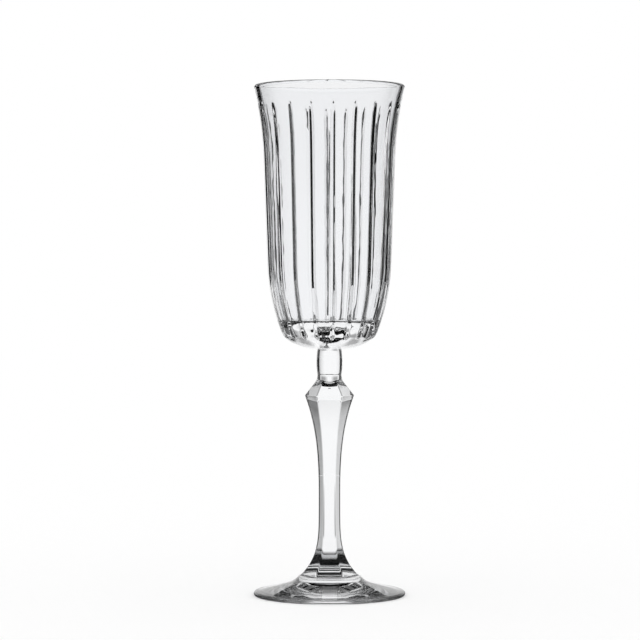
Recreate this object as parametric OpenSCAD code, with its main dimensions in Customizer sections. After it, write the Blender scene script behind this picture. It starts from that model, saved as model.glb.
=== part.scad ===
// Champagne flute: a grooved bowl, a round collar, a six-sided stem with a knop, and a round foot.
// The origin is the centre of the ring that the foot rests on. Lengths are in millimetres, +Z is up.

/* [Bowl] */
// Height of the bowl, from the collar to the lip
bowl_h = 111.5; // [104:0.5:140]
// Outer diameter at the lip
mouth_d = 63.7; // [60:0.1:76]
// Outer diameter where the wall starts to flare
body_d = 55.6; // [50:0.1:58]
// Height of the flared part under the lip
flare_h = 29.6; // [20:0.1:36]
// Lean of the straight wall, in degrees from upright
wall_lean = 2.1; // [1:0.1:3]
// Radius of the belly below the straight wall
belly_r = 88; // [70:1:110]
// Radius of the tighter turn at the heel of the bowl
heel_r = 15; // [8:1:24]
// Lean of the wall where the belly turns into the heel, in degrees
heel_lean = 20.5; // [16:0.5:24]
// Lean of the wall at the crease under the heel, in degrees
crease_lean = 33; // [28:0.5:45]
// Height of the smooth dome between the collar and the crease
dome_h = 5.3; // [3:0.1:8]

/* [Bowl glass] */
// Thickness of the wall
wall_t = 2.3; // [1.6:0.1:3.2]
// Thickness of the lip
lip_t = 1.9; // [1.2:0.1:2.6]
// Thickness of the solid glass under the middle of the cavity
floor_t = 8; // [6:0.5:14]
// Radius of the hollow floor of the cavity
floor_r = 45; // [35:1:80]
// Radius of the corner where the cavity's wall meets its floor
floor_corner_r = 1.5; // [1:0.5:4]

/* [Grooves] */
// Number of grooves around the bowl
groove_count = 20; // [12:1:24]
// Width of a groove
groove_w = 1.5; // [0.6:0.1:2]
// Depth of a groove
groove_depth = 0.8; // [0.3:0.1:1]
// Distance from the lip down to the top of the grooves
groove_gap = 8.6; // [5:0.1:14]
// Length over which a groove fades out at its top
groove_fade = 4; // [1:0.5:8]
// Turn of the first groove from the front, in degrees
groove_turn = 3.1; // [0:0.1:18]

/* [Collar] */
// Height of the collar between the stem and the bowl
collar_h = 10.5; // [6:0.5:20]
// Diameter of the collar at both ends
collar_end_d = 10.2; // [8:0.1:13]
// Diameter of the collar halfway up
collar_mid_d = 10.9; // [8:0.1:15]

/* [Stem] */
// Height of the stem, from the foot to the collar
stem_h = 85.1; // [75:0.5:110]
// Width of the knop across its corners
knop_w = 21.1; // [18:0.1:26]
// Distance from the top of the stem down to the knop's edge
knop_drop = 8.9; // [7.5:0.1:12]
// Height of the cove where the round top spreads into the knop
cove_h = 5.6; // [3:0.1:7]
// Slope of the knop's upper corners, in millimetres of width gained at each side per millimetre of height
knop_slope = 0.79; // [0.7:0.01:1]
// Width of the stem's waist across its corners
waist_w = 9.4; // [8:0.1:12]
// Height of the waist above the foot
waist_height = 33.6; // [26:0.1:44]
// Width of the stem's base across its corners
base_w = 25.3; // [20:0.1:30]
// Sharpness of the curve from the waist up to the knop
knop_curve = 2.7; // [2:0.1:4]
// Sharpness of the curve from the waist down to the base
base_curve = 4.6; // [3:0.1:6]

/* [Foot] */
// Diameter of the foot
foot_d = 64; // [56:0.5:76]
// Height of the foot at its centre
foot_h = 8.4; // [7:0.1:12]
// Width of the ledge that the foot leaves around the stem's base
ledge_w = 0.3; // [0.1:0.1:1]
// Height of the round edge of the foot
edge_t = 1.9; // [1.4:0.1:3]
// Slope of the foot's top near its edge, in degrees
edge_slope = 12; // [8:0.5:15]
// Slope of the foot's top where it turns up to the ledge, in degrees
top_slope = 17; // [14:0.5:24]
// Width of the turn from the foot's top up to the ledge
turn_w = 3.2; // [1.5:0.1:4]
// Distance from the foot's edge in to the ring that it rests on
ring_inset = 2.6; // [2:0.1:6]
// Height of the hollow under the foot, at its centre
hollow_h = 1.3; // [0.6:0.1:2.4]

/* [Hidden] */
$fn = 96;
glass = [0.9, 0.93, 0.94, 0.6];
steps = 6; // chords in each arc of an outline
stem_steps = 18; // chords in each curve of the stem
spare = 2; // how far a cutter reaches past the surface that it cuts

stem_z = foot_h;
collar_z = stem_z + stem_h;
bowl_z = collar_z + collar_h;

// An arc that goes down a wall and bulges outward: its lean from upright grows from one angle to the other.
function belly_arc(start, radius, from, to) =
    [for (i = [1:steps]) let (t = from + (to - from) * i / steps)
        start + radius * [cos(t) - cos(from), sin(from) - sin(t)]];

// An arc that goes up from a wall that leans by an angle and ends dr further out and dh further up.
function flare_arc(start, lean, dr, dh) =
    let (radius = (dr * dr + dh * dh) / 2 / (dr * cos(lean) - dh * sin(lean)),
         end = asin(sin(lean) + dh / radius))
    [for (i = [steps:-1:0]) let (t = lean + (end - lean) * i / steps)
        start + radius * [cos(lean) - cos(t), sin(t) - sin(lean)]];

// Outer wall of the bowl
mouth_r = mouth_d / 2;
lip_z = bowl_h - lip_t / 2;
waist = [body_d / 2, bowl_h - flare_h];
belly_drop = belly_r * (sin(heel_lean) - sin(wall_lean));
heel_drop = heel_r * (sin(crease_lean) - sin(heel_lean));
belly_top_z = dome_h + heel_drop + belly_drop;
belly_top = [waist.x - (waist.y - belly_top_z) * tan(wall_lean), belly_top_z];

// The wall from the lip down to the crease, set in from the outer face by a depth
function wall(depth) =
    let (inward = depth * [-cos(wall_lean), sin(wall_lean)],
         flare = flare_arc(waist + inward, wall_lean, mouth_r - depth - (waist + inward).x, lip_z - (waist + inward).y),
         belly = belly_arc(belly_top + inward, belly_r - depth, wall_lean, heel_lean),
         heel = belly_arc(belly[steps - 1], heel_r - depth, heel_lean, crease_lean))
    concat(flare, [belly_top + inward], belly, heel);

outer_wall = wall(0);
crease = outer_wall[len(outer_wall) - 1];
dome_span = crease.x - collar_end_d / 2;
dome_r = (dome_span * dome_span + dome_h * dome_h) / 2 / dome_h;
dome_turn = asin(dome_span / dome_r);
dome = [for (i = [steps - 1:-1:0]) let (t = dome_turn * i / steps)
    [collar_end_d / 2 + dome_r * sin(t), dome_r * (1 - cos(t))]];

// Cavity of the bowl: the wall's own curves set in by its thickness, then a tight corner to a hollow floor
inset = wall_t * [-cos(wall_lean), sin(wall_lean)];
inner_waist = waist + inset;
inner_belly_top = belly_top + inset;
inner_belly_r = belly_r - wall_t;
belly_centre = inner_belly_top - inner_belly_r * [cos(wall_lean), -sin(wall_lean)];
floor_centre = [0, floor_t + floor_r];
// The corner's arc touches the belly's and the floor's, so its centre is this far from each of theirs.
from_belly = inner_belly_r - floor_corner_r;
from_floor = floor_r - floor_corner_r;
apart = norm(floor_centre - belly_centre);
toward = (floor_centre - belly_centre) / apart;
along = (apart * apart + from_belly * from_belly - from_floor * from_floor) / 2 / apart;
corner_centre = belly_centre + along * toward
    + sqrt(from_belly * from_belly - along * along) * [toward.y, -toward.x];
corner_lean = atan2(belly_centre.y - corner_centre.y, corner_centre.x - belly_centre.x);
floor_lean = atan2(floor_centre.y - corner_centre.y, corner_centre.x - floor_centre.x);
inner_flare = flare_arc(inner_waist, wall_lean, mouth_r - lip_t - inner_waist.x, lip_z - inner_waist.y);
inner_belly = belly_arc(inner_belly_top, inner_belly_r, wall_lean, corner_lean);
inner_corner = belly_arc(inner_belly[steps - 1], floor_corner_r, corner_lean, floor_lean);
inner_floor = belly_arc(inner_corner[steps - 1], floor_r, floor_lean, 90);
cavity = concat(inner_flare, [inner_belly_top], inner_belly, inner_corner,
    [for (i = [0:steps - 2]) inner_floor[i]]);

// The round lip, from the cavity over to the outer wall
lip = [for (i = [1:steps - 1]) let (t = 180 - 180 * i / steps)
    [mouth_r - lip_t / 2, lip_z] + lip_t / 2 * [cos(t), sin(t)]];
bowl_outline = concat([[0, 0], [0, floor_t]], [for (i = [len(cavity) - 1:-1:0]) cavity[i]], lip, outer_wall, dome);

// Grooves: where the outer wall is at a height on its flared part
flare_out = outer_wall[0] - waist;
flare_r = (flare_out.x * flare_out.x + flare_out.y * flare_out.y)
    / 2 / (flare_out.x * cos(wall_lean) - flare_out.y * sin(wall_lean));
function on_flare(z) = [waist.x + flare_r * (cos(wall_lean) - cos(asin(sin(wall_lean) + (z - waist.y) / flare_r))), z];
groove_top = on_flare(bowl_h - groove_gap);
groove_full = on_flare(groove_top.y - groove_fade) - [groove_depth, 0];

// The glass that one groove takes out, from the crease up to where it fades into the wall
module groove() {
    reach = groove_top.x + spare;
    rotate([90, 0, 0]) linear_extrude(groove_w, center = true) intersection() {
        polygon(concat(wall(groove_depth), [[reach, crease.y], [reach, bowl_h]]));
        polygon([[0, crease.y], [reach, crease.y], [reach, groove_top.y], groove_top, groove_full, [0, groove_full.y]]);
    }
}

module bowl() {
    color(glass) translate([0, 0, bowl_z]) difference() {
        rotate_extrude() polygon(bowl_outline);
        for (i = [0:groove_count - 1])
            rotate([0, 0, groove_turn - 90 + i * 360 / groove_count]) groove();
    }
}

module collar() {
    bulge = (collar_mid_d - collar_end_d) / 2;
    side = [for (i = [0:steps]) let (t = 2 * i / steps - 1)
        [collar_end_d / 2 + bulge * (1 - t * t), collar_h * i / steps]];
    color(glass) translate([0, 0, collar_z]) rotate_extrude() polygon(concat([[0, 0]], side, [[0, collar_h]]));
}

// Stem: half its width across the corners, from the base up to the knop, and above the knop
knop_height = stem_h - knop_drop;
function power_curve(from, to, start_z, end_z, curve) =
    [for (i = [1:stem_steps]) let (t = i / stem_steps)
        [from + (to - from) * pow(t, curve), start_z + (end_z - start_z) * t]];
base_curve_points = power_curve(waist_w / 2, base_w / 2, waist_height, 0, base_curve);
knop_curve_points = power_curve(waist_w / 2, knop_w / 2, waist_height, knop_height, knop_curve);
tip_height = knop_height + (knop_w - collar_end_d) / 2 / knop_slope;
corner_line = concat([for (i = [stem_steps - 1:-1:0]) base_curve_points[i]],
    [[waist_w / 2, waist_height]], knop_curve_points, [[collar_end_d / 2, tip_height]]);

// The flats of the six sides lie this much nearer to the axis than the corners do
flat_share = cos(30);

module six_sided() {
    half = [for (p = corner_line) [p.x * flat_share, p.y]];
    other_half = [for (i = [len(half) - 1:-1:0]) [-half[i].x, half[i].y]];
    intersection_for(turn = [0, 60, 120])
        rotate([0, 0, turn]) rotate([90, 0, 90]) linear_extrude(2 * max(base_w, knop_w), center = true)
            polygon(concat(half, other_half));
}

module stem() {
    cove_start = stem_h - cove_h;
    cove_w = (knop_w / 2 - (cove_start - knop_height) * knop_slope) * flat_share;
    cove = [for (i = [0:steps]) let (t = 1 - i / steps)
        [collar_end_d / 2 + (cove_w - collar_end_d / 2) * t * t, cove_start + cove_h * (1 - t)]];
    color(glass) translate([0, 0, stem_z]) union() {
        six_sided();
        rotate_extrude() polygon(concat([[0, cove_start]], cove, [[0, stem_h]]));
    }
}

module foot() {
    ledge_r = base_w / 2 + ledge_w;
    edge_r = foot_d / 2 - edge_t / 2;
    turn_r = ledge_r + turn_w;
    // The top is one arc from its steeper inner slope to its flatter slope at the edge.
    span = edge_r - turn_r;
    top_r = span / (sin(top_slope) - sin(edge_slope));
    top_arc = [for (i = [0:steps]) let (t = edge_slope + (top_slope - edge_slope) * i / steps)
        [edge_r - top_r * (sin(t) - sin(edge_slope)), edge_t + top_r * (cos(edge_slope) - cos(t))]];
    turn_foot = top_arc[steps];
    turn_rise = foot_h - turn_foot.y;
    turn = [for (i = [1:steps]) let (t = i / steps)
        [turn_foot.x - turn_w * t, turn_foot.y + turn_rise * (1 - pow(1 - t, 0.7)) ]];
    ring_r = foot_d / 2 - ring_inset;
    hollow_r = (ring_r * ring_r + hollow_h * hollow_h) / 2 / hollow_h;
    hollow = [for (i = [0:2 * steps]) let (t = asin(ring_r / hollow_r) * i / steps / 2)
        [hollow_r * sin(t), hollow_h - hollow_r * (1 - cos(t))]];
    color(glass) rotate_extrude() {
        polygon(concat([[0, foot_h]], hollow, [[edge_r, 0], [edge_r, edge_t]], top_arc, turn));
        translate([edge_r, edge_t / 2]) circle(d = edge_t);
    }
}

bowl();
collar();
stem();
foot();
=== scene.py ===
import math
import bpy
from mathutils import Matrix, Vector


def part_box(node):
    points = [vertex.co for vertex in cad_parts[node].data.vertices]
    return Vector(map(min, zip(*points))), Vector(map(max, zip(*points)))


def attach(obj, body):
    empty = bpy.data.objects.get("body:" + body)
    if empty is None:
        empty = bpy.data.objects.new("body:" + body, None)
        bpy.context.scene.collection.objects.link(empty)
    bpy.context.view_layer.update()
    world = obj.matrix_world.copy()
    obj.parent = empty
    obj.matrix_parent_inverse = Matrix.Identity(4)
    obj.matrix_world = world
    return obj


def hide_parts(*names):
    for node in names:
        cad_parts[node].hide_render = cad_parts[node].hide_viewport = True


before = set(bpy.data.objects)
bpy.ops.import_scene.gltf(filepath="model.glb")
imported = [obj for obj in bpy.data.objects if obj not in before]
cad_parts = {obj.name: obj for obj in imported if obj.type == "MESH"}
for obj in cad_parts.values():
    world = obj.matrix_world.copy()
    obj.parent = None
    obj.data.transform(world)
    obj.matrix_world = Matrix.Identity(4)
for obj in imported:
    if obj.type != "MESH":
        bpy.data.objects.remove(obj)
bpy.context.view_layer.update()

# ---------------------------------------------------------------------------------------------
# Camera. A long lens about a metre away, a little above the middle of the glass, so that the
# foot shows a thin ellipse from above and the lip one from below.
# ---------------------------------------------------------------------------------------------
MM = 0.001
camera_distance = 1060 * MM
camera_height = 136 * MM
aim_height = 116.4 * MM
aim_side = -4 * MM
lens_mm = 141.2
sensor_mm = 36

camera = bpy.data.objects.new("camera", bpy.data.cameras.new("camera"))
bpy.context.scene.collection.objects.link(camera)
camera.data.lens = lens_mm
camera.data.sensor_width = sensor_mm
camera.location = (0, -camera_distance, camera_height)
camera.rotation_mode = "QUATERNION"
look = Vector((aim_side, 0, aim_height)) - camera.location
camera.rotation_quaternion = look.to_track_quat("-Z", "Y")
bpy.context.scene.camera = camera
bpy.context.scene.view_settings.view_transform = "Standard"

# ---------------------------------------------------------------------------------------------
# Table and light. A plain matt white table in even white light from all round. Light bounces are
# held at 16, which cuts off light trapped in the thick glass and helps to keep the middle of the
# bowl's base dark: with 48 it turns grey there.
# ---------------------------------------------------------------------------------------------
table_half = 3.0
bounces = 16


def flat_sheet(name, corners):
    mesh = bpy.data.meshes.new(name)
    mesh.from_pydata(corners, [], [range(len(corners))])
    sheet = bpy.data.objects.new(name, mesh)
    bpy.context.scene.collection.objects.link(sheet)
    return sheet


def matt_material(name, colour):
    material = bpy.data.materials.new(name)
    material.use_nodes = True
    shader = material.node_tree.nodes["Principled BSDF"]
    shader.inputs["Base Color"].default_value = (*colour, 1)
    shader.inputs["Roughness"].default_value = 0.8
    shader.inputs["Specular IOR Level"].default_value = 0
    return material


world = bpy.data.worlds.new("even_white_light")
bpy.context.scene.world = world
world.use_nodes = True
world.node_tree.nodes["Background"].inputs["Color"].default_value = (1, 1, 1, 1)
world.node_tree.nodes["Background"].inputs["Strength"].default_value = 1.0
bpy.context.scene.cycles.max_bounces = bounces
bpy.context.scene.cycles.transmission_bounces = bounces
bpy.context.scene.cycles.glossy_bounces = bounces

table = flat_sheet("table", [(-table_half, -table_half, 0), (table_half, -table_half, 0),
                             (table_half, table_half, 0), (-table_half, table_half, 0)])
table.data.materials.append(matt_material("white_table", (1, 1, 1)))

# ---------------------------------------------------------------------------------------------
# Studio stand. Against a bright field clear glass shows by the dark things round it, as lines at
# its edges and cuts. They hang on this stand, which stays upright and turns to the camera's
# heading. They show only in the glass, and cast no shade on the table.
# ---------------------------------------------------------------------------------------------
stand = bpy.data.objects.new("studio_stand", None)
bpy.context.scene.collection.objects.link(stand)
turntable = stand.constraints.new("LOCKED_TRACK")
turntable.target = camera
turntable.track_axis = "TRACK_NEGATIVE_Y"
turntable.lock_axis = "LOCK_Z"


def card_material(name, colour):
    """Matt, and clear to light that has already met a matt surface, so the table stays evenly lit."""
    material = matt_material(name, colour)
    nodes, links = material.node_tree.nodes, material.node_tree.links
    path = nodes.new("ShaderNodeLightPath")
    no_matt_yet = nodes.new("ShaderNodeMath")
    no_matt_yet.operation = "LESS_THAN"
    no_matt_yet.inputs[1].default_value = 0.5
    links.new(path.outputs["Diffuse Depth"], no_matt_yet.inputs[0])
    links.new(no_matt_yet.outputs[0], nodes["Principled BSDF"].inputs["Alpha"])
    return material


def hang_on_stand(card, material):
    card.data.materials.append(material)
    card.parent = stand
    card.visible_camera = False
    card.visible_diffuse = False
    card.visible_shadow = False


# ---------------------------------------------------------------------------------------------
# Tent. A matt dome of cloth round the glass: white behind it, black at both sides and dark above
# and in front. Its grey tones are listed by degrees round from straight behind and degrees up.
# ---------------------------------------------------------------------------------------------
tent_radius = 1.0
tent_angles = [-180 + 2 * i for i in range(180)]
tent_rises = [-5 + 5 * i for i in range(20)]
tone_round = [(-180, 0.1), (-115, 0.1), (-95, 0.01), (-45, 0.01), (-42, 0.6), (-37, 0.9), (-22, 1.0),
              (16, 1.0), (30, 0.8), (37, 0.65), (40, 0.5), (43, 0.01), (95, 0.01), (115, 0.1), (180, 0.1)]
tone_up = [(-5, 1.0), (10, 1.0), (20, 0.9), (32, 0.6), (42, 0.12), (55, 0.05), (90, 0.05)]
least_tone = [(-5, 0.01), (10, 0.01), (18, 0.2), (30, 0.25), (45, 0.12), (90, 0.12)]


def around(angle, radius, height):
    """A point at an angle in degrees from straight behind the glass, to the right of it."""
    return radius * math.sin(math.radians(angle)), radius * math.cos(math.radians(angle)), height


def between(value, stops):
    """Reads a list of (place, tone) stops at any place between them."""
    for (a, tone_a), (b, tone_b) in zip(stops, stops[1:]):
        if value <= b:
            return tone_a + (tone_b - tone_a) * (value - a) / (b - a)
    return stops[-1][1]


def ringed_cloth(name, rings, tones):
    """A cloth through rings of (radius, height), with a tone at each of its points."""
    n = len(tent_angles)
    points = [around(a, radius, height) for radius, height in rings for a in tent_angles]
    faces = [(r * n + i, r * n + (i + 1) % n, (r + 1) * n + (i + 1) % n, (r + 1) * n + i)
             for r in range(len(rings) - 1) for i in range(n)]
    mesh = bpy.data.meshes.new(name)
    mesh.from_pydata(points, [], faces)
    mesh.attributes.new("tone", "FLOAT", "POINT").data.foreach_set("value", tones)
    cloth = bpy.data.objects.new(name, mesh)
    bpy.context.scene.collection.objects.link(cloth)
    return cloth


def tent_tone(angle, rise):
    return max(between(angle, tone_round) * between(rise, tone_up), between(rise, least_tone))


cloth_material = card_material("tent_cloth", (1, 1, 1))
tone = cloth_material.node_tree.nodes.new("ShaderNodeAttribute")
tone.attribute_name = "tone"
cloth_shader = cloth_material.node_tree.nodes["Principled BSDF"]
cloth_material.node_tree.links.new(tone.outputs["Fac"], cloth_shader.inputs["Base Color"])

tent_rings = [(tent_radius * math.cos(math.radians(rise)), tent_radius * math.sin(math.radians(rise)))
              for rise in tent_rises]
tent = ringed_cloth("tent", tent_rings, [tent_tone(a, rise) for rise in tent_rises for a in tent_angles])
hang_on_stand(tent, cloth_material)

# ---------------------------------------------------------------------------------------------
# Black cards. A high one behind the glass darkens the tops of the grooves and streaks in the
# foot. Two wings close behind the bowl darken its edges more than its middle. All are matt
# black card, held by the stand.
# ---------------------------------------------------------------------------------------------
high_half = 13
high_steps = 8
high_from = 22
high_to = 60
high_radius = 0.97
wing_near = 0.057
wing_far = 0.2
wing_behind = 0.08
wing_low = 0.125
wing_high = 0.26


def card_edge(rise):
    radius = high_radius * math.cos(math.radians(rise))
    height = high_radius * math.sin(math.radians(rise))
    return [around(high_half * (2 * i / high_steps - 1), radius, height) for i in range(high_steps + 1)]


black = card_material("black_card", (0, 0, 0))
hang_on_stand(flat_sheet("high_card", card_edge(high_from) + card_edge(high_to)[::-1]), black)
for side in (-1, 1):
    wing = flat_sheet("wing_card", [(side * wing_near, wing_behind, wing_low),
                                    (side * wing_far, wing_behind, wing_low),
                                    (side * wing_far, wing_behind, wing_high),
                                    (side * wing_near, wing_behind, wing_high)])
    hang_on_stand(wing, black)

# ---------------------------------------------------------------------------------------------
# Low cloth. The same cloth as the tent, laid flat on the table up to the tent. It is white behind
# the glass with a greyer patch at both sides there, dark elsewhere, and has dark and light rings
# under the foot, which draw the foot's edge and the cone inside it. The black middle and the dark
# ring at the foot's edge are painted shade, standing in for the shadow under the glass foot.
# ---------------------------------------------------------------------------------------------
low_level = 0.03 * MM
foot_shade = 0.033
behind_half = 50
low_elsewhere = 0.15
# Painted shade: black under the middle of the foot and a dark ring at its edge, for the shadow under the
# glass.
under_foot_tones_with_painted_shade = [(0, 0.01), (0.012, 0.01), (0.018, 0.6), (0.028, 0.95), (0.0295, 0.05), (0.033, 0.01)]
patch_round = [(-50, 1.0), (-36, 1.0), (-28, 0.4), (-16, 0.4), (-8, 0.8), (-5, 1.0),
               (5, 1.0), (8, 0.8), (16, 0.4), (28, 0.4), (36, 1.0), (50, 1.0)]
patch_share = [(0, 0.0), (0.1, 0.0), (0.13, 1.0), (0.3, 1.0), (0.45, 0.7), (0.7, 0.0), (0.98, 0.0)]
low_radii = [0.0005, 0.008, 0.012, 0.015, 0.018, 0.023, 0.028, 0.0295, foot_shade, 0.045,
             0.1, 0.13, 0.2, 0.3, 0.45, 0.7, 0.98]


def low_tone(angle, radius):
    if radius <= foot_shade:
        return between(radius, under_foot_tones_with_painted_shade)
    if abs(angle) > behind_half:
        return low_elsewhere
    patch = 1 - between(radius, patch_share) * (1 - between(angle, patch_round))
    return between(angle, tone_round) * patch


low_cloth = ringed_cloth("low_cloth", [(radius, low_level) for radius in low_radii],
                         [low_tone(a, radius) for radius in low_radii for a in tent_angles])
hang_on_stand(low_cloth, cloth_material)

# ---------------------------------------------------------------------------------------------
# Bowl. One gather of clear glass, pressed in a mould: a thick floor, a straight wall that flares
# to a fire-polished lip, and narrow grooves down its outside as far as the crease. Its smooth
# dome is welded to the collar by heat.
# ---------------------------------------------------------------------------------------------
bowl_low, bowl_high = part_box("bowl")
bowl_h = bowl_high.z - bowl_low.z
mouth_r = bowl_high.x
waist_r = 27.8 * MM
flare_h = 29.6 * MM
wall_lean = math.radians(2.1)
belly_r = 88 * MM
heel_r = 15 * MM
heel_lean = math.radians(20.5)
crease_lean = math.radians(33)
dome_h = 5.3 * MM
dome_rows = 16
wall_t = 2.3 * MM
lip_t = 1.9 * MM
lip_rows = 10
floor_t = 8.0 * MM
floor_r = 45 * MM
floor_corner_r = 1.5 * MM
collar_end_r = 5.1 * MM

grooves = 20
groove_off_front = 3.1
groove_turn = math.radians(groove_off_front - 90)
groove_w = 2.0 * MM
groove_depth = 1.0 * MM
groove_steepness = 0.85
groove_rounding = 0.2 * MM
groove_gap = 8.6 * MM
groove_fade = 6 * MM
groove_root_share = 0.92
groove_points_mm = (0.1, 0.3, 0.5, 0.62, 0.72, 0.82, 0.92, 1.02, 1.2)
groove_points_r_mm = 27
land_steps = 4


def belly_arc(start, radius, lean_from, lean_to, rows):
    """Down a wall that bulges outward, its lean from upright growing from one angle to the other."""
    points = []
    for i in range(1, rows + 1):
        t = lean_from + (lean_to - lean_from) * i / rows
        points.append((start[0] + radius * (math.cos(t) - math.cos(lean_from)),
                       start[1] + radius * (math.sin(lean_from) - math.sin(t))))
    return points


def flare_arc(start, lean, end, rows):
    """Down from the lip to where the flare leaves the straight wall."""
    out, up = end[0] - start[0], end[1] - start[1]
    radius = (out * out + up * up) / 2 / (out * math.cos(lean) - up * math.sin(lean))
    end_lean = math.asin(math.sin(lean) + up / radius)
    points = []
    for i in range(rows, -1, -1):
        t = lean + (end_lean - lean) * i / rows
        points.append((start[0] + radius * (math.cos(lean) - math.cos(t)),
                       start[1] + radius * (math.sin(t) - math.sin(lean))))
    return points


def straight(start, end, rows):
    return [(start[0] + (end[0] - start[0]) * i / rows, start[1] + (end[1] - start[1]) * i / rows)
            for i in range(1, rows + 1)]


def turned_piece(name, outline, turns, **attributes):
    """A closed mesh turned round the axis from an outline that starts and ends on it."""
    n = len(turns)
    points, rings, values = [], [], {key: [] for key in attributes}
    for row, (r, z) in enumerate(outline):
        ring = [(0, 0, z)] if r == 0 else [(r * math.cos(t), r * math.sin(t), z) for t in turns]
        rings.append(range(len(points), len(points) + len(ring)))
        points += ring
        for key in attributes:
            values[key] += [attributes[key][row]] * len(ring)
    faces = []
    for low, high in zip(rings, rings[1:]):
        for i in range(n):
            j = (i + 1) % n
            if len(low) == 1:
                faces.append((low[0], high[j], high[i]))
            elif len(high) == 1:
                faces.append((low[i], low[j], high[0]))
            else:
                faces.append((low[i], low[j], high[j], high[i]))
    mesh = bpy.data.meshes.new(name)
    mesh.from_pydata(points, [], faces)
    mesh.shade_smooth()
    for key in values:
        mesh.attributes.new(key, "FLOAT", "POINT").data.foreach_set("value", values[key])
    piece = bpy.data.objects.new(name, mesh)
    bpy.context.scene.collection.objects.link(piece)
    return piece


lip_z = bowl_h - lip_t / 2
waist = (waist_r, bowl_h - flare_h)
belly_drop = belly_r * (math.sin(heel_lean) - math.sin(wall_lean))
heel_drop = heel_r * (math.sin(crease_lean) - math.sin(heel_lean))
belly_top_z = dome_h + heel_drop + belly_drop
belly_top = (waist[0] - (waist[1] - belly_top_z) * math.tan(wall_lean), belly_top_z)
outer = flare_arc(waist, wall_lean, (mouth_r, lip_z), rows=30)
outer += straight(waist, belly_top, rows=24)
outer += belly_arc(belly_top, belly_r, wall_lean, heel_lean, rows=18)
outer += belly_arc(outer[-1], heel_r, heel_lean, crease_lean, rows=6)
crease = outer[-1]
dome_span = crease[0] - collar_end_r
dome_r = (dome_span ** 2 + dome_h ** 2) / 2 / dome_h
dome_turn = math.asin(dome_span / dome_r)
dome = [(collar_end_r + dome_r * math.sin(dome_turn * i / dome_rows),
         dome_r * (1 - math.cos(dome_turn * i / dome_rows))) for i in range(dome_rows)]

# The cavity: the wall's own curve set in by its thickness, a tight corner, and a hollow floor.
inset = (-wall_t * math.cos(wall_lean), wall_t * math.sin(wall_lean))
inner_waist = (waist[0] + inset[0], waist[1] + inset[1])
inner_top = (belly_top[0] + inset[0], belly_top[1] + inset[1])
inner_r = belly_r - wall_t
belly_centre = (inner_top[0] - inner_r * math.cos(wall_lean), inner_top[1] + inner_r * math.sin(wall_lean))
floor_centre = (0, floor_t + floor_r)
to_floor = (floor_centre[0] - belly_centre[0], floor_centre[1] - belly_centre[1])
apart = math.hypot(*to_floor)
to_belly_arc, to_floor_arc = inner_r - floor_corner_r, floor_r - floor_corner_r
along = (apart ** 2 + to_belly_arc ** 2 - to_floor_arc ** 2) / 2 / apart
off = math.sqrt(to_belly_arc ** 2 - along ** 2)
corner_centre = (belly_centre[0] + (to_floor[0] * along + to_floor[1] * off) / apart,
                 belly_centre[1] + (to_floor[1] * along - to_floor[0] * off) / apart)
corner_lean = math.atan2(belly_centre[1] - corner_centre[1], corner_centre[0] - belly_centre[0])
floor_lean = math.atan2(floor_centre[1] - corner_centre[1], corner_centre[0] - floor_centre[0])
inner = flare_arc(inner_waist, wall_lean, (mouth_r - lip_t, lip_z), rows=16)
inner += straight(inner_waist, inner_top, rows=12)
inner += belly_arc(inner_top, inner_r, wall_lean, corner_lean, rows=10)
inner += belly_arc(inner[-1], floor_corner_r, corner_lean, floor_lean, rows=12)
inner += belly_arc(inner[-1], floor_r, floor_lean, math.radians(90), rows=24)[:-1]
lip_angles = [math.pi * i / lip_rows for i in range(1, lip_rows)]
lip = [(mouth_r - lip_t / 2 + lip_t / 2 * math.cos(a), lip_z + lip_t / 2 * math.sin(a)) for a in lip_angles]
outline = [(0, 0)] + dome + outer[::-1] + lip + inner + [(0, floor_t)]


def groove_press(z):
    """How much of its depth a groove has at a height on the outer wall: it rises in a round end."""
    below = (bowl_h - groove_gap - z) / groove_fade
    return math.sqrt(1 - (1 - min(1, below)) ** 2) if below > 0 else 0


first, last = 1 + len(dome), 1 + len(dome) + len(outer)
press = [groove_press(z) if first <= row < last else 0 for row, (r, z) in enumerate(outline)]
outline = [(r, z + bowl_low.z) for r, z in outline]

# Round the bowl the mesh is fine across each groove and coarse on the plain land between two.
pitch = 2 * math.pi / grooves
near = [t / groove_points_r_mm for t in groove_points_mm]
land = pitch / 2 - near[-1]
half = [0] + near + [near[-1] + land * i / land_steps for i in range(1, land_steps)]
one_groove = sorted([-t for t in half[1:]] + half + [pitch / 2])
turns = [groove_turn + pitch * k + t for k in range(grooves) for t in one_groove]
bowl = turned_piece("bowl_glass", outline, turns, press=press)


def socket(tree, name, kind, way="INPUT"):
    return tree.interface.new_socket(name, in_out=way, socket_type=kind)


def maths(tree, operation, *values):
    """One Math node. Each value is a number or another node's output; its own output comes back."""
    node = tree.nodes.new("ShaderNodeMath")
    node.operation = operation
    for slot, value in zip(node.inputs, values):
        if isinstance(value, (int, float)):
            slot.default_value = value
        else:
            tree.links.new(value, slot)
    return node.outputs[0]


def attribute(tree, name):
    node = tree.nodes.new("GeometryNodeInputNamedAttribute")
    node.data_type = "FLOAT"
    node.inputs["Name"].default_value = name
    return node.outputs["Attribute"]


def position_parts(tree):
    place = tree.nodes.new("GeometryNodeInputPosition")
    parts = tree.nodes.new("ShaderNodeSeparateXYZ")
    tree.links.new(place.outputs[0], parts.inputs[0])
    return parts.outputs


def press_tree(name, inputs):
    """Starts a tree that presses a turned piece into shape, with a named input for each size."""
    tree = bpy.data.node_groups.new(name, "GeometryNodeTree")
    tree.is_modifier = True
    socket(tree, "Geometry", "NodeSocketGeometry", "OUTPUT")
    socket(tree, "Geometry", "NodeSocketGeometry")
    for label in inputs:
        socket(tree, label, "NodeSocketFloat")
    socket(tree, "Glass", "NodeSocketMaterial")
    return tree, tree.nodes.new("NodeGroupInput").outputs


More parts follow.
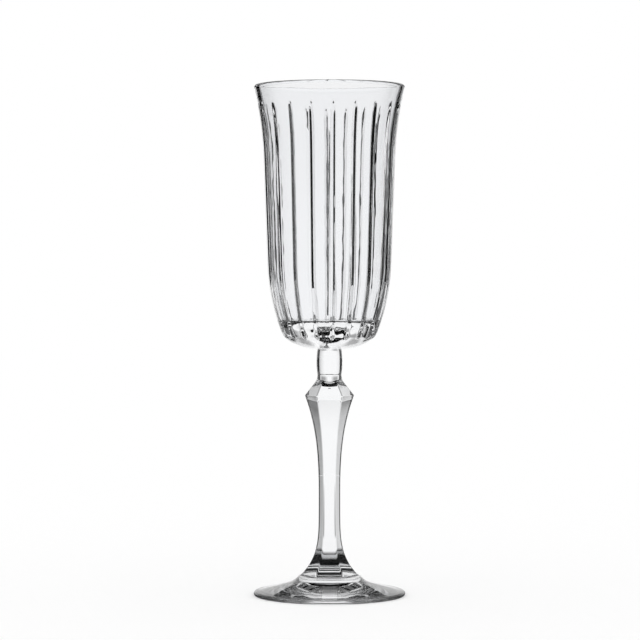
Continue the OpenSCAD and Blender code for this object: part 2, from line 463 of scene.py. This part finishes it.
def end_tree(tree, geometry, given):
    """Ends a tree: instances made real, and glass all over."""
    real = tree.nodes.new("GeometryNodeRealizeInstances")
    tree.links.new(geometry, real.inputs[0])
    coat = tree.nodes.new("GeometryNodeSetMaterial")
    tree.links.new(real.outputs[0], coat.inputs["Geometry"])
    tree.links.new(given["Glass"], coat.inputs["Material"])
    out = tree.nodes.new("NodeGroupOutput")
    tree.links.new(coat.outputs[0], out.inputs[0])


groove_tree, given = press_tree("pressed_grooves",
                                ["Grooves", "Turn", "Width", "Depth", "Rounding", "Steepness"])
x, y, z = position_parts(groove_tree)
angle = maths(groove_tree, "SUBTRACT", maths(groove_tree, "ARCTAN2", y, x), given["Turn"])
groove_pitch = maths(groove_tree, "DIVIDE", 2 * math.pi, given["Grooves"])
off_centre = maths(groove_tree, "PINGPONG", angle, maths(groove_tree, "MULTIPLY", groove_pitch, 0.5))
radius = maths(groove_tree, "SQRT", maths(groove_tree, "ADD", maths(groove_tree, "MULTIPLY", x, x),
                                          maths(groove_tree, "MULTIPLY", y, y)))
distance = maths(groove_tree, "MULTIPLY", off_centre, radius)
half_width = maths(groove_tree, "MULTIPLY", given["Width"], 0.5)
inside = maths(groove_tree, "SUBTRACT", half_width, distance)
flank = maths(groove_tree, "MULTIPLY", inside, given["Steepness"])
shoulder = maths(groove_tree, "SMOOTH_MAX", flank, 0, given["Rounding"])
root_depth = maths(groove_tree, "MULTIPLY", given["Depth"], groove_root_share)
root = maths(groove_tree, "SMOOTH_MIN", shoulder, root_depth, given["Rounding"])
depth = maths(groove_tree, "MULTIPLY", root, attribute(groove_tree, "press"))
normal = groove_tree.nodes.new("GeometryNodeInputNormal")
inward = groove_tree.nodes.new("ShaderNodeVectorMath")
inward.operation = "SCALE"
groove_tree.links.new(normal.outputs[0], inward.inputs[0])
groove_tree.links.new(maths(groove_tree, "MULTIPLY", depth, -1), inward.inputs["Scale"])
pressed = groove_tree.nodes.new("GeometryNodeSetPosition")
groove_tree.links.new(given["Geometry"], pressed.inputs["Geometry"])
groove_tree.links.new(inward.outputs[0], pressed.inputs["Offset"])
end_tree(groove_tree, pressed.outputs[0], given)


def shaped(piece, tree, values):
    """Runs a tree on a piece and keeps the result as its plain mesh."""
    modifier = piece.modifiers.new(tree.name, "NODES")
    modifier.node_group = tree
    names = {item.name: item.identifier for item in tree.interface.items_tree if item.in_out == "INPUT"}
    for name, value in values.items():
        modifier[names[name]] = value
    graph = bpy.context.evaluated_depsgraph_get()
    mesh = bpy.data.meshes.new_from_object(piece.evaluated_get(graph))
    mesh.name = piece.name
    piece.modifiers.remove(modifier)
    piece.data = mesh


def shade_group(name, inputs, outputs):
    tree = bpy.data.node_groups.new(name, "ShaderNodeTree")
    for label, kind in inputs:
        socket(tree, label, kind)
    for label, kind in outputs:
        socket(tree, label, kind, "OUTPUT")
    return tree, tree.nodes.new("NodeGroupInput").outputs, tree.nodes.new("NodeGroupOutput").inputs


ripple, given, out = shade_group("mould_ripple",
                                 [("Place", "NodeSocketVector"), ("Size", "NodeSocketFloat"),
                                  ("Stretch", "NodeSocketFloat"), ("Height", "NodeSocketFloat")],
                                 [("Normal", "NodeSocketVector")])
axes = ripple.nodes.new("ShaderNodeSeparateXYZ")
ripple.links.new(given["Place"], axes.inputs[0])
squeezed = ripple.nodes.new("ShaderNodeCombineXYZ")
ripple.links.new(maths(ripple, "DIVIDE", axes.outputs["X"], given["Size"]), squeezed.inputs["X"])
ripple.links.new(maths(ripple, "DIVIDE", axes.outputs["Y"], given["Size"]), squeezed.inputs["Y"])
tall = maths(ripple, "MULTIPLY", given["Size"], given["Stretch"])
ripple.links.new(maths(ripple, "DIVIDE", axes.outputs["Z"], tall), squeezed.inputs["Z"])
waves = ripple.nodes.new("ShaderNodeTexNoise")
waves.inputs["Scale"].default_value = 1
waves.inputs["Detail"].default_value = 1
ripple.links.new(squeezed.outputs[0], waves.inputs["Vector"])
relief = ripple.nodes.new("ShaderNodeBump")
ripple.links.new(given["Height"], relief.inputs["Distance"])
ripple.links.new(waves.outputs["Fac"], relief.inputs["Height"])
ripple.links.new(relief.outputs[0], out["Normal"])

rubbed, given, out = shade_group("rubbed_zone",
                                 [("Place", "NodeSocketVector"), ("Level", "NodeSocketFloat"),
                                  ("Reach", "NodeSocketFloat"), ("Roughness", "NodeSocketFloat")],
                                 [("Roughness", "NodeSocketFloat")])
speck_scale = 900
axes = rubbed.nodes.new("ShaderNodeSeparateXYZ")
rubbed.links.new(given["Place"], axes.inputs[0])
away = maths(rubbed, "ABSOLUTE", maths(rubbed, "SUBTRACT", axes.outputs["Z"], given["Level"]))
near_it = maths(rubbed, "SUBTRACT", 1, maths(rubbed, "DIVIDE", away, given["Reach"]))
specks = rubbed.nodes.new("ShaderNodeTexNoise")
specks.inputs["Scale"].default_value = speck_scale
rubbed.links.new(given["Place"], specks.inputs["Vector"])
share = maths(rubbed, "MULTIPLY", maths(rubbed, "MAXIMUM", near_it, 0), specks.outputs["Fac"])
rubbed.links.new(maths(rubbed, "MULTIPLY", share, given["Roughness"]), out["Roughness"])

clear_glass = (0.985, 0.99, 1.0, 1)
glass_ior = 1.52
glass_sheen = (0.6, 0.6, 0.6, 1)


def glass_material(name, ripples, rubs):
    """Clear glass with the faint ripple that the mould leaves, and dulled where the piece gets rubbed."""
    material = bpy.data.materials.new(name)
    material.use_nodes = True
    nodes, links = material.node_tree.nodes, material.node_tree.links
    shader = nodes["Principled BSDF"]
    shader.inputs["Base Color"].default_value = clear_glass
    shader.inputs["IOR"].default_value = glass_ior
    shader.inputs["Transmission Weight"].default_value = 1
    shader.inputs["Specular Tint"].default_value = glass_sheen
    place = nodes.new("ShaderNodeTexCoord")
    for group, values, effect in ((ripple, ripples, "Normal"), (rubbed, rubs, "Roughness")):
        node = nodes.new("ShaderNodeGroup")
        node.node_tree = group
        links.new(place.outputs["Object"], node.inputs["Place"])
        for label, value in values.items():
            node.inputs[label].default_value = value
        links.new(node.outputs[effect], shader.inputs[effect])
    return material


bowl_ripple = {"Size": 3 * MM, "Stretch": 3, "Height": 0.025 * MM}
lip_rub = {"Level": bowl_high.z, "Reach": 0.8 * MM, "Roughness": 0.02}
bowl_glass = glass_material("bowl_glass", bowl_ripple, lip_rub)
shaped(bowl, groove_tree, {"Grooves": float(grooves), "Turn": groove_turn, "Width": groove_w,
                           "Depth": groove_depth, "Rounding": groove_rounding,
                           "Steepness": groove_steepness, "Glass": bowl_glass})

# Two pieces are one glass where they are welded, so the flat faces that meet there don't show.
weld = bpy.data.materials.new("weld")
weld.use_nodes = True
weld.node_tree.nodes["Principled BSDF"].inputs["Alpha"].default_value = 0
weld_slack = 0.05 * MM
same_level = 0.001 * MM
level_face = 0.99


def finish_piece(piece, node, welds):
    """Marks the weld faces, given as (height, radius), and hands the piece over."""
    mesh = piece.data
    mesh.materials.append(weld)
    for face in mesh.polygons:
        far = max(math.hypot(*mesh.vertices[v].co.xy) for v in face.vertices)
        for z, reach in welds:
            if abs(face.center.z - z) < same_level and abs(face.normal.z) > level_face and far < reach:
                face.material_index = 1
    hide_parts(node)
    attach(piece, "root")


collar_reach = collar_end_r + weld_slack
finish_piece(bowl, "bowl", [(bowl_low.z, collar_reach)])

# ---------------------------------------------------------------------------------------------
# Collar. A short round length of clear glass between the bowl and the stem, a little thicker
# halfway up, where the hot glass bulged as it was pushed together. Welded at both ends.
# ---------------------------------------------------------------------------------------------
collar_low, collar_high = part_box("collar")
collar_h = collar_high.z - collar_low.z
bulge = collar_high.x - collar_end_r
collar_rows = 24
round_points = 192
round_turns = [2 * math.pi * i / round_points for i in range(round_points)]
collar_side = [(collar_end_r + bulge * (1 - (2 * i / collar_rows - 1) ** 2),
                collar_low.z + collar_h * i / collar_rows) for i in range(collar_rows + 1)]
outline = [(0, collar_low.z)] + collar_side + [(0, collar_high.z)]
collar = turned_piece("collar_glass", outline, round_turns)
collar_ripple = {"Size": 4 * MM, "Stretch": 1, "Height": 0.01 * MM}
no_rub = {"Level": 0, "Reach": 0.1 * MM, "Roughness": 0}
collar.data.materials.append(glass_material("collar_glass", collar_ripple, no_rub))
finish_piece(collar, "collar", [(collar_low.z, collar_reach), (collar_high.z, collar_reach)])

# ---------------------------------------------------------------------------------------------
# Stem. Clear glass pressed with six flat sides, from a round neck over a sharp knop and a thin
# waist to a wide base. Its edges are softened by the fire that polished it. Welded at both ends.
# ---------------------------------------------------------------------------------------------
stem_low, stem_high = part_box("stem")
sides = 6
knop_z = stem_high.z - 8.9 * MM
knop_r = 10.55 * MM
knop_slope = 0.79
stem_waist_z = stem_low.z + 33.6 * MM
stem_waist_r = 4.7 * MM
base_r = stem_high.x
base_curve = 4.6
shaft_curve = 2.7
cove_h = 5.6 * MM
core_slope = 0.3
side_rounding = 1.0 * MM
cove_rounding = 0.8 * MM
front_flat = math.radians(-90)
half_side_turn = math.pi / sides
base_rows, shaft_rows, knop_rows = 60, 70, 40
points_off_corner = [0, 0.7, 1.5, 2.4, 3.5, 5, 7.5, 11, 15, 20, 25]
least_r = 0.001 * MM


def corner_radius(z):
    """From the axis to a corner of the six-sided section."""
    if z < stem_waist_z:
        down = (stem_waist_z - z) / (stem_waist_z - stem_low.z)
        return stem_waist_r + (base_r - stem_waist_r) * down ** base_curve
    if z < knop_z:
        up = (z - stem_waist_z) / (knop_z - stem_waist_z)
        return stem_waist_r + (knop_r - stem_waist_r) * up ** shaft_curve
    return max(0.0, knop_r - (z - knop_z) * knop_slope)


cove_z = stem_high.z - cove_h
cove_r = (knop_r - (cove_z - knop_z) * knop_slope) * math.cos(half_side_turn)


def core_radius(z):
    """The round core, which comes out of the flat sides as the cove under the neck."""
    if z < cove_z:
        return max(0.0, cove_r - (cove_z - z) * core_slope)
    t = (stem_high.z - z) / cove_h
    return collar_end_r + (cove_r - collar_end_r) * t * t


side_tree, given = press_tree("pressed_sides", ["Sides", "Turn", "Edge rounding", "Cove rounding"])
x, y, z = position_parts(side_tree)
angle = maths(side_tree, "ARCTAN2", y, x)
half_side = maths(side_tree, "DIVIDE", math.pi, given["Sides"])
off_flat = maths(side_tree, "PINGPONG", maths(side_tree, "SUBTRACT", angle, given["Turn"]), half_side)
corner = attribute(side_tree, "corner")
apothem = maths(side_tree, "MULTIPLY", corner, maths(side_tree, "COSINE", half_side))
this_flat = maths(side_tree, "DIVIDE", apothem, maths(side_tree, "COSINE", off_flat))
to_next = maths(side_tree, "SUBTRACT", maths(side_tree, "MULTIPLY", half_side, 2), off_flat)
next_flat = maths(side_tree, "DIVIDE", apothem, maths(side_tree, "COSINE", to_next))
faceted = maths(side_tree, "SMOOTH_MIN", this_flat, next_flat, given["Edge rounding"])
faceted_part = maths(side_tree, "MULTIPLY", faceted, attribute(side_tree, "flat"))
round_share = maths(side_tree, "SUBTRACT", 1, attribute(side_tree, "flat"))
round_part = maths(side_tree, "MULTIPLY", corner, round_share)
side_radius = maths(side_tree, "ADD", faceted_part, round_part)
radius = maths(side_tree, "SMOOTH_MAX", side_radius, attribute(side_tree, "core"), given["Cove rounding"])
off_axis = maths(side_tree, "GREATER_THAN", corner, 0)
radius = maths(side_tree, "MULTIPLY", radius, off_axis)
place = side_tree.nodes.new("ShaderNodeCombineXYZ")
new_x = maths(side_tree, "MULTIPLY", radius, maths(side_tree, "COSINE", angle))
new_y = maths(side_tree, "MULTIPLY", radius, maths(side_tree, "SINE", angle))
side_tree.links.new(new_x, place.inputs["X"])
side_tree.links.new(new_y, place.inputs["Y"])
side_tree.links.new(z, place.inputs["Z"])
pressed = side_tree.nodes.new("GeometryNodeSetPosition")
side_tree.links.new(given["Geometry"], pressed.inputs["Geometry"])
side_tree.links.new(place.outputs[0], pressed.inputs["Position"])
end_tree(side_tree, pressed.outputs[0], given)

half = [math.radians(t) for t in points_off_corner]
one_corner = sorted([-t for t in half[1:]] + half + [half_side_turn])
stem_turns = [2 * half_side_turn * k + t for k in range(sides) for t in one_corner]
heights = [stem_low.z + (stem_waist_z - stem_low.z) * i / base_rows for i in range(base_rows)]
heights += [stem_waist_z + (knop_z - stem_waist_z) * i / shaft_rows for i in range(shaft_rows)]
heights += [knop_z + (stem_high.z - knop_z) * i / knop_rows for i in range(knop_rows + 1)]
outline = [(0, stem_low.z)] + [(1, z) for z in heights] + [(0, stem_high.z)]
corners = [0] + [max(least_r, corner_radius(z)) for z in heights] + [0]
cores = [0] + [core_radius(z) for z in heights] + [0]
flats = [1] * len(outline)
# The top ring is plain round, to meet the collar.
corners[-2], cores[-2], flats[-2] = collar_end_r, 0, 0
stem = turned_piece("stem_glass", outline, stem_turns, corner=corners, core=cores, flat=flats)
stem_ripple = {"Size": 6 * MM, "Stretch": 3, "Height": 0.01 * MM}
knop_rub = {"Level": knop_z, "Reach": 0.5 * MM, "Roughness": 0.02}
stem_sides = {"Sides": float(sides), "Turn": front_flat, "Edge rounding": side_rounding,
              "Cove rounding": cove_rounding, "Glass": glass_material("stem_glass", stem_ripple, knop_rub)}
shaped(stem, side_tree, stem_sides)
base_reach = base_r + weld_slack
finish_piece(stem, "stem", [(stem_low.z, base_reach), (stem_high.z, collar_reach)])

# ---------------------------------------------------------------------------------------------
# Foot. A round, shallow cone of clear glass with a thin rounded edge, slightly hollow under it,
# so that it stands on a ring, which gets rubbed dull. It turns up to meet the stem, welded there.
# ---------------------------------------------------------------------------------------------
foot_low, foot_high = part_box("foot")
foot_h = foot_high.z
edge_t = 1.9 * MM
edge_slope, top_slope = math.radians(12), math.radians(17)
ledge_r = base_r + 0.3 * MM
turn_w = 3.2 * MM
turn_curve = 0.7
ring_inset = 2.6 * MM
hollow_h = 1.3 * MM
top_rows, turn_rows, edge_rows, hollow_rows = 30, 16, 16, 40

edge_r = foot_high.x - edge_t / 2
turn_r = ledge_r + turn_w
top_r = (edge_r - turn_r) / (math.sin(top_slope) - math.sin(edge_slope))
top_arc = []
for i in range(top_rows + 1):
    t = edge_slope + (top_slope - edge_slope) * i / top_rows
    top_arc.append((edge_r - top_r * (math.sin(t) - math.sin(edge_slope)),
                    edge_t + top_r * (math.cos(edge_slope) - math.cos(t))))
turn_foot = top_arc[-1]
turn = []
for i in range(1, turn_rows + 1):
    t = i / turn_rows
    rise = (foot_h - turn_foot[1]) * (1 - (1 - t) ** turn_curve)
    turn.append((turn_foot[0] - turn_w * t, turn_foot[1] + rise))
edge_angles = [math.radians(-90 + 180 * i / edge_rows) for i in range(edge_rows + 1)]
edge = [(edge_r + edge_t / 2 * math.cos(a), edge_t / 2 + edge_t / 2 * math.sin(a)) for a in edge_angles]
ring_r = foot_high.x - ring_inset
hollow_r = (ring_r ** 2 + hollow_h ** 2) / 2 / hollow_h
hollow_angles = [math.asin(ring_r / hollow_r) * i / hollow_rows for i in range(1, hollow_rows + 1)]
hollow = [(hollow_r * math.sin(a), hollow_h - hollow_r * (1 - math.cos(a))) for a in hollow_angles]
outline = [(0, hollow_h)] + hollow + edge + top_arc[1:] + turn + [(base_r, foot_h), (0, foot_h)]
# The ring round the weld face is six-sided like the stem's base. All the others are round.
flats = [0] * len(outline)
flats[-2] = 1
foot = turned_piece("foot_glass", outline, stem_turns, corner=[r for r, z in outline],
                    core=[0] * len(outline), flat=flats)
foot_ripple = {"Size": 5 * MM, "Stretch": 1, "Height": 0.02 * MM}
ring_rub = {"Level": 0, "Reach": 0.4 * MM, "Roughness": 0.5}
shaped(foot, side_tree, {**stem_sides, "Glass": glass_material("foot_glass", foot_ripple, ring_rub)})
finish_piece(foot, "foot", [(foot_h, base_reach)])
